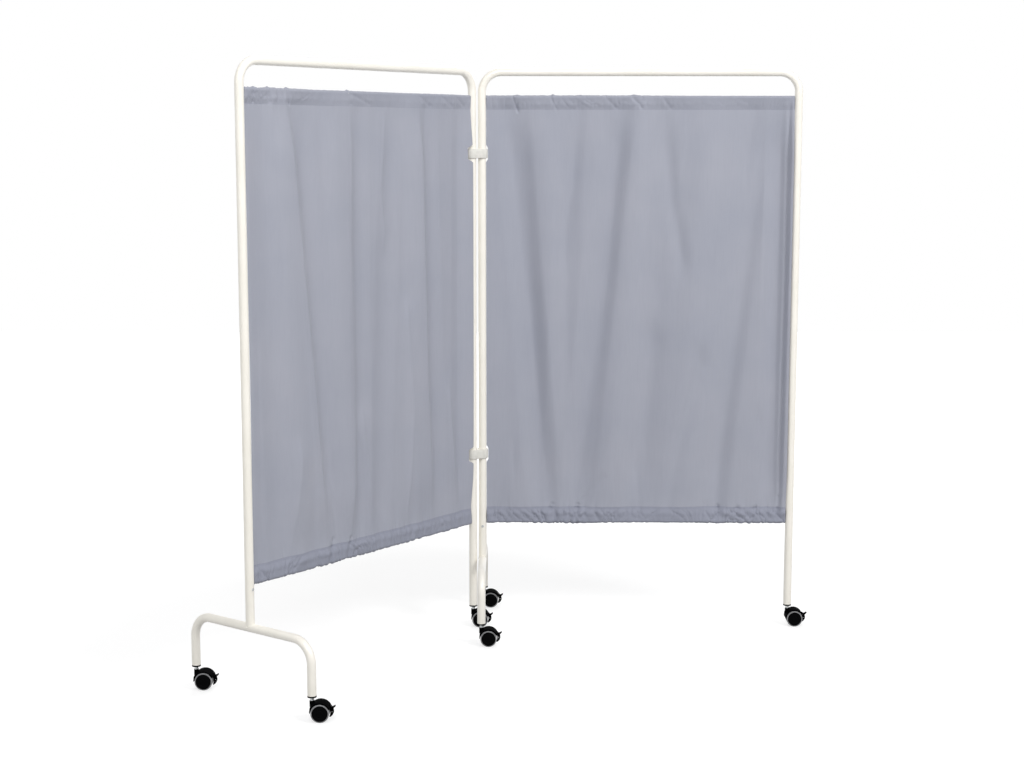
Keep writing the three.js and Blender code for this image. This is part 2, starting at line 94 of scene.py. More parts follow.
# Castors, from the stem's axis and the floor.
AXLE = Vector((0.022, 0, 0.025))
WHEEL_RADIUS = 0.025
WHEEL_START = 0.0055
WHEEL_SIDES = 72
AXLE_BORE = 0.0033
BORE_END = 0.0130
HOOD_HALF = 0.022
HOOD_EDGE = 0.0011
WEB_HALF = 0.0052
WEB_EDGE = 0.0005
STEM_RADIUS = 0.005
STEM_ROOM = 0.0003
STEM_EDGE = 0.0003
FLANGE_RADIUS = 0.0064
GROOVE_DEPTH = 0.0006
BOSS_RADIUS = 0.0069
BOSS_DEPTH = 0.018
BOSS_TOP = 0.0565
BOSS_EDGE = 0.0009
RIM_BOTTOM = 0.0652
RIM_TOP = 0.0692
RIM_EDGE = 0.0005
SOCKET_TOP = RIM_TOP + 0.02
SOCKET_SLACK = 0.0001
LEVER_HALF = 0.004
LEVER_ROOM = 0.0004
LEVER_EDGE = 0.0009
LEVER_PIVOT = Vector((AXLE.x + 0.0265, 0, AXLE.z + 0.0125))
LEVER_HOLE = Vector((AXLE.x + 0.031, 0, AXLE.z))
LEVER_HOLE_RADIUS = 0.0018
PIN_RADIUS = 0.0016
PIN_HALF = 0.0052
EAR_RADIUS = 0.0041
EAR_HALF = 0.009
EAR_EDGE = 0.0008

# Roundness of small pieces.
TURN_SIDES = 56
CORNER_STEPS = 4
SHARP_TURN = math.radians(38)
CUT_SHARP_TURN = math.radians(30)

# Cloth: its rods, stitch lines and grid.
ROD_LEVELS = (1.6699, 0.3431)
STITCH_LEVELS = (1.634, 0.3865)
TUNNEL_RADIUS = 0.0052
CLOTH_THICKNESS = 0.0007
FLAP = 0.0035
LAYER_GAP = 0.0010
CLOTH_INSET = 0.0128
CLOTH_COLUMNS = 400
COLUMN_CROWDING = 0.35
BODY_ROWS = 170
HEM_ROWS = 14
TUNNEL_ROWS = 20
CAD_BODY_LEVELS = (1.6559, 0.3571)
FADE_SHARE = 0.13
HELD_AT_STITCH = 0.3

JOINTS = {joint["name"]: joint for joint in frame["joints"]}


def joint_place(name):
    x, y, _ = JOINTS[name]["pos_m"]
    return Vector((x, y, 0))


RIGHT_AXIS = joint_place("right_upright_hinge")
LEFT_AXIS = joint_place("left_upright_hinge")
WINGS = {
    "right": Matrix.Translation(RIGHT_AXIS),
    "left": Matrix.Translation(LEFT_AXIS) @ Matrix.Rotation(LEFT_TURN, 4, "Z"),
}
OUTWARD = {"right": 1, "left": -1}
FOOTED_X = {"right": 0.0, "left": -SPACING}


# Materials. Colours are given as displayed, from 0 to 255.
CREAM_TONES = ((243, 239, 229), (248, 244, 235))
CREAM_WORN = (226, 220, 206)
CLAMP_TONES = ((228, 226, 219), (238, 236, 231))
BLACK_TONES = ((6, 6, 7), (20, 20, 22))
TYRE_TONES = ((152, 152, 154), (170, 170, 170))
ZINC_TONE = (198, 200, 200)
ROD_TONE = (204, 204, 201)
CLOTH_TONES = ((160, 163, 175), (166, 168, 179))
CLOTH_STREAK = (149, 152, 165)
# Colour of the hems: doubled cloth with painted shade where it curls round the rods.
CLOTH_DOUBLED_AND_SHADED = (144, 147, 161)
THREAD_TONE = (128, 132, 150)
FLOOR_TONES = ((170, 170, 170), (176, 176, 176))
# Shares of the darker hem colour, painted shade included, for the top and the bottom hem.
TOP_HEM_TONE = 0.3
BOTTOM_HEM_TONE = 0.9
YARN_PITCH = 0.0007
SLUB_SCALE = (260, 260, 14)
STITCH_PITCH = 0.0034
STITCH_HALF = 0.0005
SECOND_ROW = 0.005


def new_material(name):
    material = bpy.data.materials.new(name)
    material.use_nodes = True
    return material, material.node_tree, material.node_tree.nodes["Principled BSDF"]


def linear(colour):
    """A displayed colour as the shader's linear colour."""
    shares = [value / 255 for value in colour]
    return (*[s / 12.92 if s <= 0.04045 else ((s + 0.055) / 1.055) ** 2.4 for s in shares], 1)


def darkened(colour, share):
    return (*[value * share for value in colour[:3]], 1)


def feed(tree, node, inputs):
    """Set inputs of a node, by name or number, to values or to outputs of other nodes."""
    for name, value in inputs.items():
        if isinstance(value, bpy.types.NodeSocket):
            tree.links.new(value, node.inputs[name])
        else:
            node.inputs[name].default_value = value


def add_node(tree, kind, inputs, output=0, **settings):
    """Add a node to a tree and return one of its outputs."""
    node = tree.nodes.new("ShaderNode" + kind)
    for name, value in settings.items():
        setattr(node, name, value)
    feed(tree, node, inputs)
    return node.outputs[output]


def object_coordinates(tree):
    return add_node(tree, "TexCoord", {}, "Object")


def noise_node(tree, place, scale, detail, roughness=0.5):
    inputs = {"Vector": place, "Scale": scale, "Detail": detail, "Roughness": roughness}
    return add_node(tree, "TexNoise", inputs)


def stretched(tree, place, scale):
    return add_node(tree, "Mapping", {"Vector": place, "Scale": scale})


def range_node(tree, value, low, high, start=0.0, end=1.0):
    inputs = {"Value": value, "From Min": start, "From Max": end, "To Min": low, "To Max": high}
    return add_node(tree, "MapRange", inputs)


def mix_colour(tree, factor, first, second):
    return add_node(tree, "Mix", {0: factor, 6: first, 7: second}, 2, data_type="RGBA")


def math_node(tree, operation, *values):
    return add_node(tree, "Math", dict(enumerate(values)), operation=operation)


def bump_node(tree, height, distance, strength):
    return add_node(tree, "Bump", {"Height": height, "Distance": distance, "Strength": strength})


def worn_edges(tree, colour, worn_colour, most, start, end):
    """A colour that changes towards another along sharp edges."""
    pointed = add_node(tree, "NewGeometry", {}, "Pointiness")
    worn = range_node(tree, pointed, low=0, high=most, start=start, end=end)
    return mix_colour(tree, worn, colour, worn_colour)


def seen_rays(tree):
    """1 for rays that show a surface to the camera, straight or mirrored, and 0 for its light on others."""
    path = tree.nodes.new("ShaderNodeLightPath").outputs
    mirrored = math_node(tree, "MAXIMUM", path["Is Glossy Ray"], path["Is Transmission Ray"])
    return math_node(tree, "MAXIMUM", path["Is Camera Ray"], mirrored)


def powder_coat():
    """Cream powder coat with fine orange peel and a slightly uneven tone, a little darker along edges."""
    material, tree, shader = new_material("cream_powder_coat")
    place = object_coordinates(tree)
    patches = noise_node(tree, place, scale=9, detail=3)
    share = range_node(tree, patches, low=0, high=1, start=0.35, end=0.65)
    colour = mix_colour(tree, share, *map(linear, CREAM_TONES))
    peel = noise_node(tree, place, scale=900, detail=2)
    gloss = noise_node(tree, place, scale=40, detail=3)
    feed(tree, shader, {
        "Base Color": worn_edges(tree, colour, linear(CREAM_WORN), most=0.5, start=0.53, end=0.62),
        "Normal": bump_node(tree, peel, distance=0.00006, strength=0.5),
        "Roughness": range_node(tree, gloss, low=0.3, high=0.46),
        "Specular IOR Level": 0.6,
        "Coat Weight": 0.6,
        "Coat Roughness": 0.3,
    })
    return material


def plastic(name, tones, roughness, specular=0.45, grain=1400, depth=0.00005):
    """Moulded plastic with a fine grain, faint flow marks and rubbed edges."""
    material, tree, shader = new_material(name)
    place = object_coordinates(tree)
    colour, worn_colour = map(linear, tones)
    marks = noise_node(tree, place, scale=60, detail=4, roughness=0.6)
    share = range_node(tree, marks, low=0, high=1, start=0.3, end=0.7)
    base = mix_colour(tree, share, darkened(colour, 0.86), colour)
    grains = noise_node(tree, place, scale=grain, detail=2)
    feed(tree, shader, {
        "Base Color": worn_edges(tree, base, worn_colour, most=0.6, start=0.53, end=0.66),
        "Normal": bump_node(tree, grains, distance=depth, strength=0.6),
        "Roughness": range_node(tree, marks, low=roughness - 0.07, high=roughness + 0.09),
        "Specular IOR Level": specular,
    })
    return material


def metal(name, tone, roughness, lines=(1, 1, 40)):
    """Plated or drawn steel with fine drawing lines and a cloudy sheen."""
    material, tree, shader = new_material(name)
    place = object_coordinates(tree)
    colour = linear(tone)
    drawn = noise_node(tree, stretched(tree, place, lines), scale=300, detail=3)
    cloud = noise_node(tree, place, scale=90, detail=3)
    feed(tree, shader, {
        "Base Color": mix_colour(tree, cloud, darkened(colour, 0.8), colour),
        "Normal": bump_node(tree, drawn, distance=0.00003, strength=0.5),
        "Roughness": range_node(tree, cloud, low=roughness - 0.08, high=roughness + 0.1),
        "Metallic": 1,
    })
    return material


def woven_cloth():
    """Blue-grey plain weave. The hems are a little darker, partly as doubled cloth and partly as painted
    shade of the cloth curling round the rods, and thread runs along the stitch lines."""
    material, tree, shader = new_material("cloth")
    place = object_coordinates(tree)

    def compute(operation, *values):
        return math_node(tree, operation, *values)

    across, level = (add_node(tree, "SeparateXYZ", {0: place}, axis) for axis in "XZ")
    yarns = [compute("SINE", compute("MULTIPLY", way, 2 * math.pi / YARN_PITCH)) for way in (across, level)]
    weave = compute("MULTIPLY", *yarns)
    slubs = noise_node(tree, stretched(tree, place, SLUB_SCALE), scale=1, detail=3)
    clouds = noise_node(tree, place, scale=5, detail=3)
    cloudy = range_node(tree, clouds, low=0, high=1, start=0.3, end=0.7)
    tone = mix_colour(tree, cloudy, *map(linear, CLOTH_TONES))
    streaks = range_node(tree, slubs, low=0, high=0.16, start=0.4, end=0.75)
    streaked = mix_colour(tree, streaks, tone, linear(CLOTH_STREAK))
    # The hems take the darker colour, partly as doubled cloth and partly as painted shade of the tunnels
    # round the rods, the bottom hem most.
    top_hem = compute("MULTIPLY", compute("GREATER_THAN", level, STITCH_LEVELS[0]), TOP_HEM_TONE)
    bottom_hem = compute("MULTIPLY", compute("LESS_THAN", level, STITCH_LEVELS[1]), BOTTOM_HEM_TONE)
    doubled_and_shaded = mix_colour(tree, compute("ADD", top_hem, bottom_hem), streaked, linear(CLOTH_DOUBLED_AND_SHADED))
    rows = []
    for line in (*STITCH_LEVELS, STITCH_LEVELS[1] - SECOND_ROW):
        off = compute("ABSOLUTE", compute("SUBTRACT", level, line))
        rows.append(compute("LESS_THAN", off, STITCH_HALF))
    on_row = compute("ADD", compute("ADD", rows[0], rows[1]), rows[2])
    beat = compute("SINE", compute("MULTIPLY", across, 2 * math.pi / STITCH_PITCH))
    stitches = compute("MULTIPLY", on_row, compute("GREATER_THAN", beat, -0.4))
    sunk = compute("ADD", slubs, compute("MULTIPLY", stitches, -1.5))
    height = compute("ADD", compute("MULTIPLY", weave, 0.25), sunk)
    feed(tree, shader, {
        "Base Color": mix_colour(tree, compute("MULTIPLY", stitches, 0.6), doubled_and_shaded, linear(THREAD_TONE)),
        "Normal": bump_node(tree, height, distance=0.00022, strength=0.5),
        "Roughness": range_node(tree, slubs, low=0.78, high=0.92),
        "Sheen Weight": 0.15,
        "Sheen Roughness": 0.5,
        "Specular IOR Level": 0.2,
    })
    return material


CREAM = powder_coat()
CLAMP = plastic("clamp_plastic", CLAMP_TONES, 0.5)
BLACK = plastic("black_plastic", BLACK_TONES, 0.6, specular=0.004)
DISC = plastic("wheel_disc", BLACK_TONES, 0.5, specular=0.02)
TYRE = plastic("tyre", TYRE_TONES, 0.62, specular=0.2, grain=700, depth=0.00008)
ZINC = metal("zinc_plated_steel", ZINC_TONE, 0.3)
ROD = metal("rod_steel", ROD_TONE, 0.34, lines=(40, 1, 1))
CLOTH = woven_cloth()


# Meshes and pieces.

def mesh_of(name, points, faces):
    mesh = bpy.data.meshes.new(name)
    mesh.from_pydata([tuple(point) for point in points], [], [tuple(face) for face in faces])
    return mesh


def new_object(name, data):
    made = bpy.data.objects.new(name, data)
    bpy.context.scene.collection.objects.link(made)
    return made


def smoothed(mesh, sharp_turn=SHARP_TURN):
    mesh.shade_smooth()
    mesh.set_sharp_from_angle(angle=sharp_turn)
    return mesh


def add_piece(name, mesh, material, body, place=Matrix.Identity(4), nodes=()):
    if not mesh.materials:
        mesh.materials.append(material)
    piece = new_object(name, mesh)
    piece.matrix_world = place
    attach(piece, body)
    if nodes:
        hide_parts(*nodes)
    return piece


def keep_node(name, material):
    """A CAD node that stays as it is gets the detailed material."""
    node = frame["nodes"][name]
    node.data.materials.clear()
    node.data.materials.append(material)


def rounded(corners, radius, closed=False):
    """The corners of a flat line with each one rounded, except the ends of an open line."""
    points = []
    for i, corner in enumerate(corners):
        here = Vector(corner)
        if not closed and i in (0, len(corners) - 1):
            points.append(here)
            continue
        back = Vector(corners[i - 1]) - here
        ahead = Vector(corners[(i + 1) % len(corners)]) - here
        turn = back.angle(ahead)
        if turn > math.radians(172):
            points.append(here)
            continue
        reach = min(radius / math.tan(turn / 2), 0.45 * back.length, 0.45 * ahead.length)
        back.normalize()
        ahead.normalize()
        true_radius = reach * math.tan(turn / 2)
        centre = here + (back + ahead).normalized() * (true_radius / math.sin(turn / 2))
        first = here + back * reach - centre
        last = here + ahead * reach - centre
        spread = first.angle(last)
        for step in range(CORNER_STEPS + 1):
            share = step / CORNER_STEPS
            from_first = math.sin((1 - share) * spread) / math.sin(spread)
            points.append(centre + first * from_first + last * (math.sin(share * spread) / math.sin(spread)))
    return points


def arc(x, y, radius, start, end, steps):
    """Points on an arc, both ends included. Angles are in degrees."""
    turns = [math.radians(start + (end - start) * step / steps) for step in range(steps + 1)]
    return [Vector((x + radius * math.cos(turn), y + radius * math.sin(turn))) for turn in turns]


def turned_mesh(name, profile, turn=Matrix.Identity(4), sides=TURN_SIDES):
    """A piece turned about Z from [radius, height] pairs, then turned into place.

    The profile starts and ends on the axis, or closes on itself."""
    points, rings = [], []
    for radius, height in profile:
        first = len(points)
        if radius < 1e-9:
            points.append((0, 0, height))
            rings.append([first] * sides)
            continue
        rings.append(list(range(first, first + sides)))
        for side in range(sides):
            angle = 2 * math.pi * side / sides
            points.append((radius * math.cos(angle), radius * math.sin(angle), height))
    if profile[0][0] > 1e-9:
        rings.append(rings[0])
    faces = []
    for ring, after in zip(rings, rings[1:]):
        for side in range(sides):
            nearby = (side + 1) % sides
            corners = [ring[side], ring[nearby], after[nearby], after[side]]
            faces.append(list(dict.fromkeys(corners)))
    mesh = mesh_of(name, points, faces)
    mesh.transform(turn)
    return outward(mesh)


def ring_faces(rings, sides):
    """Faces between rings of points that follow each other round a closed loop."""
    faces = []
    for ring in range(rings):
        here, after = ring * sides, ((ring + 1) % rings) * sides
        for side in range(sides):
            nearby = (side + 1) % sides
            faces.append((here + side, here + nearby, after + nearby, after + side))
    return faces


def outward(mesh):
    """Turn all faces of a closed mesh to point out."""
    shell = bmesh.new()
    shell.from_mesh(mesh)
    bmesh.ops.recalc_face_normals(shell, faces=shell.faces)
    shell.to_mesh(mesh)
    shell.free()
    return smoothed(mesh)


def plate_mesh(name, outline, half_width, edge):
    """A plate with its outline in X and Z, as wide on both sides of Y = 0, with rounded rims."""
    shell = bmesh.new()
    near = [shell.verts.new((x, -half_width, z)) for x, z in outline]
    far = [shell.verts.new((x, half_width, z)) for x, z in outline]
    shell.faces.new(near)
    shell.faces.new(far[::-1])
    for i in range(len(outline)):
        j = (i + 1) % len(outline)
        shell.faces.new((near[j], near[i], far[i], far[j]))
    bmesh.ops.recalc_face_normals(shell, faces=shell.faces)
    rims = [line for line in shell.edges if abs(line.verts[0].co.y - line.verts[1].co.y) < half_width]
    bmesh.ops.bevel(shell, geom=rims, offset=edge, segments=3, profile=0.5, affect="EDGES",
                    clamp_overlap=True)
    mesh = bpy.data.meshes.new(name)
    shell.to_mesh(mesh)
    shell.free()
    return smoothed(mesh)


def merged(name, *meshes):
    """Several closed meshes as one."""
    shell = bmesh.new()
    for mesh in meshes:
        shell.from_mesh(mesh)
    mesh = bpy.data.meshes.new(name)
    shell.to_mesh(mesh)
    shell.free()
    return smoothed(mesh)


def combined(mesh, operation, *tools):
    """The mesh joined with, or cut by, other closed meshes."""
    base = new_object(mesh.name, mesh)
    helpers = []
    for tool in tools:
        helper = new_object(tool.name, tool)
        helpers.append(helper)
        modifier = base.modifiers.new(operation, "BOOLEAN")
        modifier.operation = operation
        modifier.solver = "EXACT"
        modifier.object = helper
    evaluated = base.evaluated_get(bpy.context.evaluated_depsgraph_get())
    result = bpy.data.meshes.new_from_object(evaluated)
    for used in (base, *helpers):
        bpy.data.objects.remove(used)
    return smoothed(result, CUT_SHARP_TURN)


def pin_mesh(radius, start, end, edge=0.0003, turn=Matrix.Identity(4)):
    """A round pin up the Z axis with rounded ends, turned into place."""
    profile = rounded([(0, start), (radius, start), (radius, end), (0, end)], edge)
    return turned_mesh("pin", profile, turn)


ALONG_Y = Matrix.Rotation(math.radians(-90), 4, "X")
TOWARDS_VIEWER = Matrix.Rotation(math.radians(90), 4, "X")


# Frames and feet.

def bent_path(corners, bend):
    """Places and directions along a line with round quarter-turn bends."""
    stations = []
    for i, corner in enumerate(corners):
        arriving = (corner - corners[i - 1]).normalized() if i > 0 else None
        leaving = (corners[i + 1] - corner).normalized() if i < len(corners) - 1 else None
        if arriving is None or leaving is None:
            stations.append((corner, arriving or leaving))
            continue
        for step in range(BEND_STEPS + 1):
            turn = math.pi / 2 * step / BEND_STEPS
            place = corner + arriving * bend * (math.sin(turn) - 1) + leaving * bend * (1 - math.cos(turn))
            stations.append((place, arriving * math.cos(turn) + leaving * math.sin(turn)))
    return stations


def tube_mesh(name, corners, bend, sideways):
    """A bent tube with its bore and rounded ends. Sideways is square to the plane of its bends."""
    stations = bent_path([Vector(corner) for corner in corners], bend)
    (first, start), (last, end) = stations[0], stations[-1]
    outer = [(first, start, TUBE_RADIUS - TUBE_RIM), (first + start * TUBE_RIM, start, TUBE_RADIUS)]
    outer += [(place, way, TUBE_RADIUS) for place, way in stations[1:-1]]
    outer += [(last - end * TUBE_RIM, end, TUBE_RADIUS), (last, end, TUBE_RADIUS - TUBE_RIM)]
    inner = [(place, way, TUBE_RADIUS - TUBE_WALL) for place, way in reversed(stations)]
    points = []
    for place, way, radius in outer + inner:
        upward = way.cross(sideways)
        for side in range(TUBE_SIDES):
            turn = 2 * math.pi * side / TUBE_SIDES
            points.append(place + radius * (math.cos(turn) * sideways + math.sin(turn) * upward))
    return outward(mesh_of(name, points, ring_faces(len(outer) + len(inner), TUBE_SIDES)))


def weld_mesh():
    """The bead where an upright stands on its arch: it follows the saddle and has the ripple of a weld."""
    points = []
    for station in range(WELD_STATIONS):
        turn = 2 * math.pi * station / WELD_STATIONS
        rise = TUBE_RADIUS * math.sqrt(math.sin(turn) ** 2 + SADDLE_EASE)
        radius = WELD_RADIUS * (1 + WELD_RIPPLE * math.sin(station * math.pi / 2))
        across = Vector((math.cos(turn), math.sin(turn), 0))
        centre = across * (TUBE_RADIUS + WELD_LIFT) + Vector((0, 0, FOOT_LEVEL + rise))
        for side in range(WELD_SIDES):
            lean = 2 * math.pi * side / WELD_SIDES
            points.append(centre + radius * (math.cos(lean) * across + math.sin(lean) * Vector((0, 0, 1))))
    return outward(mesh_of("weld", points, ring_faces(WELD_STATIONS, WELD_SIDES)))


def screw_mesh(head_radius, base, height):
    """A domed screw head with a hexagon socket, facing up the Z axis."""
    shoulder, top = base + height * 0.55, base + height
    crown_radius, corner_radius = head_radius * 0.72, height * 0.3
    socket_floor, above = base + height * 0.35, base + 2 * height
    dome = [(0, base), (head_radius, base), (head_radius, shoulder), (crown_radius, top), (0, top)]
    body = turned_mesh("screw", rounded(dome, corner_radius))
    hexagon = [(0, socket_floor), (HEX_RADIUS, socket_floor), (HEX_RADIUS, above), (0, above)]
    return combined(body, "DIFFERENCE", turned_mesh("socket", hexagon, sides=6))


def add_frame(side):
    place, body = WINGS[side], side + "_wing"
    outer_x = OUTWARD[side] * SPACING
    footed_x = FOOTED_X[side]

    def end_at(x):
        return FOOT_LEVEL if x == footed_x else LEG_END

    corners = [(0, 0, end_at(0)), (0, 0, RAIL_LEVEL), (outer_x, 0, RAIL_LEVEL), (outer_x, 0, end_at(outer_x))]
    add_piece(side + "_bent_frame", tube_mesh("frame", corners, FRAME_BEND, Vector((0, 1, 0))), CREAM, body,
              place, [side + "_frame"])
    at_foot = place @ Matrix.Translation((footed_x, 0, 0))
    arch = [(0, -FOOT_FRONT, LEG_END), (0, -FOOT_FRONT, FOOT_LEVEL), (0, FOOT_REAR, FOOT_LEVEL),
            (0, FOOT_REAR, LEG_END)]
    add_piece(side + "_arched_foot", tube_mesh("foot", arch, FOOT_BEND, Vector((1, 0, 0))), CREAM, body,
              at_foot, [side + "_foot"])
    add_piece(side + "_foot_weld", weld_mesh(), CREAM, body, at_foot)
    head = screw_mesh(FOOT_SCREW_HEAD, TUBE_RADIUS, FOOT_SCREW_HEIGHT)
    head.transform(Matrix.Translation((0, 0, FOOT_SCREW_LEVEL)) @ TOWARDS_VIEWER)
    add_piece(side + "_foot_screw_head", head, ZINC, body, at_foot,
              [side + "_foot_screw"])
    for level in ("top", "bottom"):
        keep_node(f"{side}_{level}_curtain_rod", ROD)


# Clamps.

def clamp_half_mesh(way):
    """Half of a clamp, in front of (way -1) or behind (way 1) the plane through both uprights."""
    slip = math.degrees(math.asin(CLAMP_SPLIT / 2 / CLAMP_RADIUS))
    channel = TUBE_RADIUS + CLAMP_SLACK
    channel_slip = math.degrees(math.asin(CLAMP_SPLIT / 2 / channel))
    outline = [
        *arc(0, 0, CLAMP_RADIUS, slip, 90, CLAMP_STEPS),
        *arc(-HINGE_SPACING, 0, CLAMP_RADIUS, 90, 180 - slip, CLAMP_STEPS),
        *arc(-HINGE_SPACING, 0, channel, 180 - channel_slip, channel_slip, CHANNEL_STEPS),
        *arc(0, 0, channel, 180 - channel_slip, channel_slip, CHANNEL_STEPS),
    ]
    block = plate_mesh("clamp", outline, CLAMP_HEIGHT / 2, CLAMP_EDGE)
    block.transform(TOWARDS_VIEWER)
    if way < 0:
        block.transform(Matrix.Rotation(math.radians(180), 4, "X"))
    well_floor, above = CLAMP_RADIUS - CLAMP_WELL_SINK, CLAMP_RADIUS + CUT_THROUGH
    well = pin_mesh(CLAMP_SCREW_HEAD + CLAMP_WELL_ROOM, well_floor, above, turn=ALONG_Y)
    well.transform(Matrix.Translation((-HINGE_SPACING / 2, 0, 0)))
    return combined(outward(block), "DIFFERENCE", well)


def add_clamps():
    turn = Matrix.Rotation(LEFT_TURN / 2, 4, "Z")
    for level_name, level in CLAMP_LEVELS.items():
        place = Matrix.Translation(RIGHT_AXIS + Vector((0, 0, level))) @ turn
        for half_name, way in (("front", -1), ("rear", 1)):
            node = f"{level_name}_clamp_{half_name}_half"
            add_piece(node + "_moulding", clamp_half_mesh(way), CLAMP, "hinge_clamps",
                      place, [node])
        head = screw_mesh(CLAMP_SCREW_HEAD, CLAMP_RADIUS - CLAMP_SCREW_SINK, CLAMP_SCREW_HEIGHT)
        head.transform(Matrix.Translation((-HINGE_SPACING / 2, 0, 0)) @ ALONG_Y)
        add_piece(level_name + "_clamp_screw_head", head, ZINC, "hinge_clamps", place,
                  [level_name + "_clamp_screw"])


# Castors. Each mesh is made once, in a frame with the stem on the Z axis. Outlines are in millimetres from
# the axle, and a wheel's profiles give radius and distance from its inner face in metres.
HOOD_OUTLINE = [*arc(0, 0, 30, 24, 125, 34), (-27, 15), (-28.5, 1.5), *arc(0, 0, 26.3, 178, 24, 44)]
WEB_CORNERS = [*arc(0, 0, 6, -135, 22.5, 14), (12.6, 24.9), (0, 28), (-18, 21.6), (-27, 6), (-18, -3)]
WEB_CORNER_RADIUS = 2.2
SLOT_OUTLINE = [(19, 5), (42.5, 5), (42.5, 18.75), (19, 18.75)]
SLOT_EDGE = 0.00005
LEVER_CORNERS = [
    (23.5, -13), (25.5, -14.25), (30, -11.25), (34, -6.75), (36.25, -1), (36.25, 4), (34.75, 9),
    (36.75, 11.5), (40.5, 15), (41.25, 17.25), (40, 18.75), (34.5, 15.5), (31, 14.5), (29.25, 15.5),
    (26.5, 15.75), (24, 14.5), (24.25, 11), (26, 6), (26.6, 0), (26, -6),
]
LEVER_CORNER_RADIUS = 3.2
TYRE_CORNERS = [
    (0.0205, 0.0006), (0.0238, 0), (WHEEL_RADIUS, 0.0014), (WHEEL_RADIUS, 0.0146), (0.0241, 0.0158),
    (0.0219, 0.0160), (0.0212, 0.0148), (0.0205, 0.0148),
]
TYRE_EDGE = 0.0008
DISC_CORNERS = [
    (AXLE_BORE, 0.0004), (0.0207, 0.0004), (0.0207, 0.0144), (0.02135, 0.0150), (0.02135, 0.0172),
    (0.0199, 0.0189), (0.0120, 0.0189), (0.0112, 0.0182), (0.0092, 0.0182), (0.0084, 0.0190), (0.0, 0.0190),
]
DISC_EDGE = 0.0007


def about_axle(points):
    """Places given from the axle, in millimetres, as an outline in metres from the stem."""
    return [(AXLE.x + x / 1000, AXLE.z + z / 1000) for x, z in points]


def socket_mesh():
    sleeve = TUBE_RADIUS - TUBE_WALL - SOCKET_SLACK
    bore = STEM_RADIUS + STEM_ROOM
    corners = [(bore, RIM_BOTTOM), (TUBE_RADIUS, RIM_BOTTOM), (TUBE_RADIUS, RIM_TOP), (sleeve, RIM_TOP),
               (sleeve, SOCKET_TOP), (bore, SOCKET_TOP)]
    return turned_mesh("socket", rounded(corners, RIM_EDGE, closed=True))


def stem_mesh():
    """The stem's pin with a flange and a groove between the boss and the socket."""
    foot, bottom, top, groove_top = (BOSS_TOP + rise for rise in (-0.009, 0.0005, 0.0020, 0.0032))
    groove = STEM_RADIUS - GROOVE_DEPTH
    corners = [(0, foot), (STEM_RADIUS, foot), (STEM_RADIUS, bottom), (FLANGE_RADIUS, bottom),
               (FLANGE_RADIUS, top), (groove, top), (groove, groove_top), (STEM_RADIUS, groove_top),
               (STEM_RADIUS, SOCKET_TOP), (0, SOCKET_TOP)]
    return turned_mesh("stem", rounded(corners, STEM_EDGE))


def housing_mesh():
    """The hood over both wheels, the web between them, the stem's boss and the lever's ears."""
    hood = plate_mesh("hood", about_axle(HOOD_OUTLINE), HOOD_HALF, HOOD_EDGE)
    web_outline = about_axle(rounded(WEB_CORNERS, WEB_CORNER_RADIUS, closed=True))
    web = plate_mesh("web", web_outline, WEB_HALF, WEB_EDGE)
    boss = pin_mesh(BOSS_RADIUS, BOSS_TOP - BOSS_DEPTH, BOSS_TOP, BOSS_EDGE)
    ears = pin_mesh(EAR_RADIUS, -EAR_HALF, EAR_HALF, EAR_EDGE, Matrix.Translation(LEVER_PIVOT) @ ALONG_Y)
    joined = combined(hood, "UNION", web, boss, ears)
    slot = plate_mesh("slot", about_axle(SLOT_OUTLINE), LEVER_HALF + LEVER_ROOM, SLOT_EDGE)
    return combined(joined, "DIFFERENCE", slot)


def lever_mesh():
    """The brake's pedal with a hole through its blade, and the pin that it tilts on."""
    outline = about_axle(rounded(LEVER_CORNERS, LEVER_CORNER_RADIUS, closed=True))
    blade = plate_mesh("lever", outline, LEVER_HALF, LEVER_EDGE)
    hole = pin_mesh(LEVER_HOLE_RADIUS, -2.5 * LEVER_HALF, 2.5 * LEVER_HALF,
                    turn=Matrix.Translation(LEVER_HOLE) @ ALONG_Y)
    pin = pin_mesh(PIN_RADIUS, -PIN_HALF, PIN_HALF, turn=Matrix.Translation(LEVER_PIVOT) @ ALONG_Y)
    return merged("lever", combined(blade, "DIFFERENCE", hole), pin)


def on_axle(mesh, way):
    """Move a mesh made from the inner face up the Z axis to the front (way -1) or rear (way 1) wheel."""
    mesh.transform(ALONG_Y if way > 0 else TOWARDS_VIEWER)
    mesh.transform(Matrix.Translation(AXLE + Vector((0, way * WHEEL_START, 0))))
    return mesh


def tyre_mesh(way):
    profile = rounded(TYRE_CORNERS, TYRE_EDGE, closed=True)
    return on_axle(turned_mesh("tyre", profile, sides=WHEEL_SIDES), way)


def disc_mesh(way):
    """The wheel's black disc, with a shallow ring round a domed hub."""
    profile = rounded(DISC_CORNERS, DISC_EDGE)
    profile += [(0, BORE_END), (AXLE_BORE, BORE_END)]
    return on_axle(turned_mesh("disc", profile, sides=WHEEL_SIDES), way)


